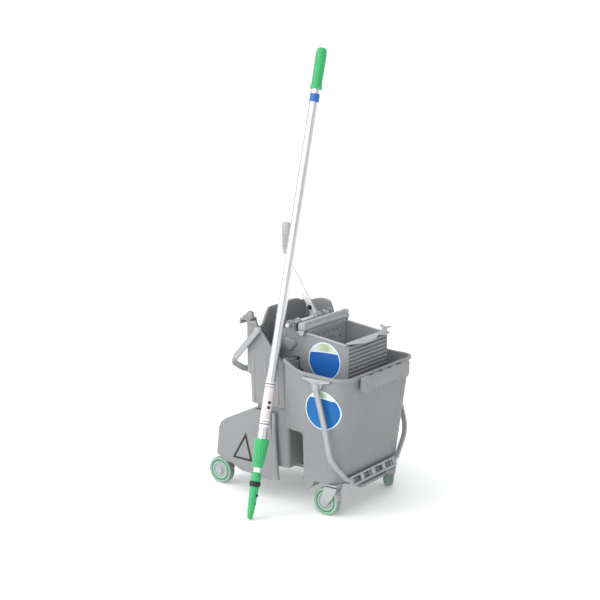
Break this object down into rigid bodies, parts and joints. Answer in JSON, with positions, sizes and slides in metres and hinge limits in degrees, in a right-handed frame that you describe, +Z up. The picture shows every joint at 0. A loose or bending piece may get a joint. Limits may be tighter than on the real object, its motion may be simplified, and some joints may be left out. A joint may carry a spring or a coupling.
{
  "type": "mop bucket with wringer",
  "caption": "Two-bucket mopping trolley on wheels with a side-press wringer, carrying bails and a telescopic pole leaning on its rim.",
  "frame": {"origin": "centre of the whole object's footprint, on the floor", "axes": "+X towards the pouring lip, -Y towards the side where the pole leans, +Z up"},
  "size_m": [0.5138, 0.4812, 1.1922],
  "materials": {
    "moulded_grey": "fine moulded texture",
    "pale_grey": "fine moulded texture",
    "bright_steel": "brushed",
    "zinc_plate": "zinc plated",
    "pole_alloy": "anodised",
    "pole_green": "semi gloss",
    "tyre_green": "pale green rubber",
    "black_part": "satin",
    "blue_film": "printed film",
    "white_film": "printed film"
  },
  "bodies": {
    "chassis": {"front_bucket": "moulded_grey", "pour_lip": "moulded_grey", "rear_bucket": "moulded_grey", "corner_hook": "moulded_grey", "rear_casing": "moulded_grey", "base_deck": "moulded_grey", "skirt_beam": "moulded_grey", "front_keel": "moulded_grey", "axle_frame": "moulded_grey", "rear_axle": "bright_steel", "bail_ear_near": "moulded_grey", "bail_ear_far": "moulded_grey", "bucket_label": "blue_film", "caution_mark": "black_part", "caster_near_plate": "pale_grey", "caster_far_plate": "pale_grey", "wringer_housing": "moulded_grey", "wringer_louvres": "moulded_grey", "wringer_flap": "pale_grey", "wringer_boss_near": "moulded_grey", "wringer_boss_far": "moulded_grey", "wringer_label": "blue_film", "wringer_rail_front": "moulded_grey", "wringer_rail_rear": "moulded_grey"},
    "front_bail": {"front_bail": "pale_grey"},
    "rear_bail": {"rear_bail": "pale_grey"},
    "lever": {"press_shaft": "bright_steel", "lever_clamp": "zinc_plate", "lever_arm": "bright_steel", "lever_bolt": "black_part", "lever_grip": "pale_grey", "press_cam_near": "zinc_plate", "press_cam_far": "zinc_plate"},
    "press": {"press_beam": "pale_grey", "press_plate": "pale_grey"},
    "caster_near": {"caster_near_fork": "pale_grey", "caster_near_axle": "zinc_plate"},
    "caster_near_wheel": {"caster_near_hub": "pale_grey", "caster_near_tyre": "tyre_green"},
    "caster_far": {"caster_far_fork": "pale_grey", "caster_far_axle": "zinc_plate"},
    "caster_far_wheel": {"caster_far_hub": "pale_grey", "caster_far_tyre": "tyre_green"},
    "rear_wheel_near": {"rear_wheel_near_hub": "pale_grey", "rear_wheel_near_tyre": "tyre_green"},
    "rear_wheel_far": {"rear_wheel_far_hub": "pale_grey", "rear_wheel_far_tyre": "tyre_green"},
    "pole_outer": {"pole_outer_tube": "pole_alloy", "pole_sleeve": "white_film", "pole_band": "blue_film", "pole_grip": "pole_green", "pole_cap": "pole_green"},
    "pole_inner": {"pole_inner_tube": "pole_alloy", "pole_tip_cone": "pole_green", "pole_tip_ring": "black_part", "pole_tip_socket": "pole_green"},
    "twist_collar": {"twist_collar": "pole_green"},
    "tip_button": {"tip_button": "black_part"}
  },
  "joints": [
    {"name": "lever_pull", "type": "hinge", "parent": "chassis", "child": "lever", "pos_m": [0.0126, 0.0531, 0.48], "axis": [0, -1, 0], "range_deg": [0, 37], "stiffness_Nm_per_rad": 2, "springref_deg": -28.65},
    {"name": "press_slide", "type": "slide", "parent": "chassis", "child": "press", "axis": [0.98, 0, -0.1989], "range_m": [0, 0.0385]},
    {"name": "front_bail_swing", "type": "hinge", "parent": "chassis", "child": "front_bail", "pos_m": [0.1536, 0.0531, 0.352], "axis": [0, -1, 0], "range_deg": [0, 165]},
    {"name": "rear_bail_swing", "type": "hinge", "parent": "chassis", "child": "rear_bail", "pos_m": [-0.0514, 0.0531, 0.467], "axis": [0, 1, 0], "range_deg": [0, 126]},
    {"name": "rear_wheel_near_spin", "type": "hinge", "parent": "chassis", "child": "rear_wheel_near", "pos_m": [-0.2194, -0.0409, 0.0375], "axis": [0, 1, 0], "continuous": true},
    {"name": "rear_wheel_far_spin", "type": "hinge", "parent": "chassis", "child": "rear_wheel_far", "pos_m": [-0.2194, 0.1471, 0.0375], "axis": [0, 1, 0], "continuous": true},
    {"name": "caster_near_swivel", "type": "hinge", "parent": "chassis", "child": "caster_near", "pos_m": [0.1836, -0.0819, 0.08], "axis": [0, 0, 1], "continuous": true},
    {"name": "caster_near_spin", "type": "hinge", "parent": "caster_near", "child": "caster_near_wheel", "pos_m": [0.1616, -0.0819, 0.0375], "axis": [0, 1, 0], "continuous": true},
    {"name": "caster_far_swivel", "type": "hinge", "parent": "chassis", "child": "caster_far", "pos_m": [0.1836, 0.1881, 0.08], "axis": [0, 0, 1], "continuous": true},
    {"name": "caster_far_spin", "type": "hinge", "parent": "caster_far", "child": "caster_far_wheel", "pos_m": [0.16888, 0.20445, 0.0375], "axis": [0.7431, 0.6691, 0], "continuous": true},
    {"name": "pole_away", "type": "slide", "parent": "chassis", "child": "pole_outer", "axis": [0, -1, 0], "range_m": [0, 0.25]},
    {"name": "pole_extend", "type": "slide", "parent": "pole_outer", "child": "pole_inner", "axis": [0.0219, -0.293, -0.9559], "range_m": [0, 0.9]},
    {"name": "collar_twist", "type": "hinge", "parent": "pole_outer", "child": "twist_collar", "pos_m": [0.0226, -0.2339, 0.0036], "axis": [-0.0219, 0.293, 0.9559], "range_deg": [0, 60]},
    {"name": "button_press", "type": "slide", "parent": "pole_inner", "child": "tip_button", "axis": [-0.9998, -0.0064, -0.0209], "range_m": [0, 0.0025], "stiffness_N_per_m": 500}
  ],
  "couplings": [
    {"joint": "press_slide", "follows": "lever_pull", "m_per_rad": 0.0593}
  ]
}
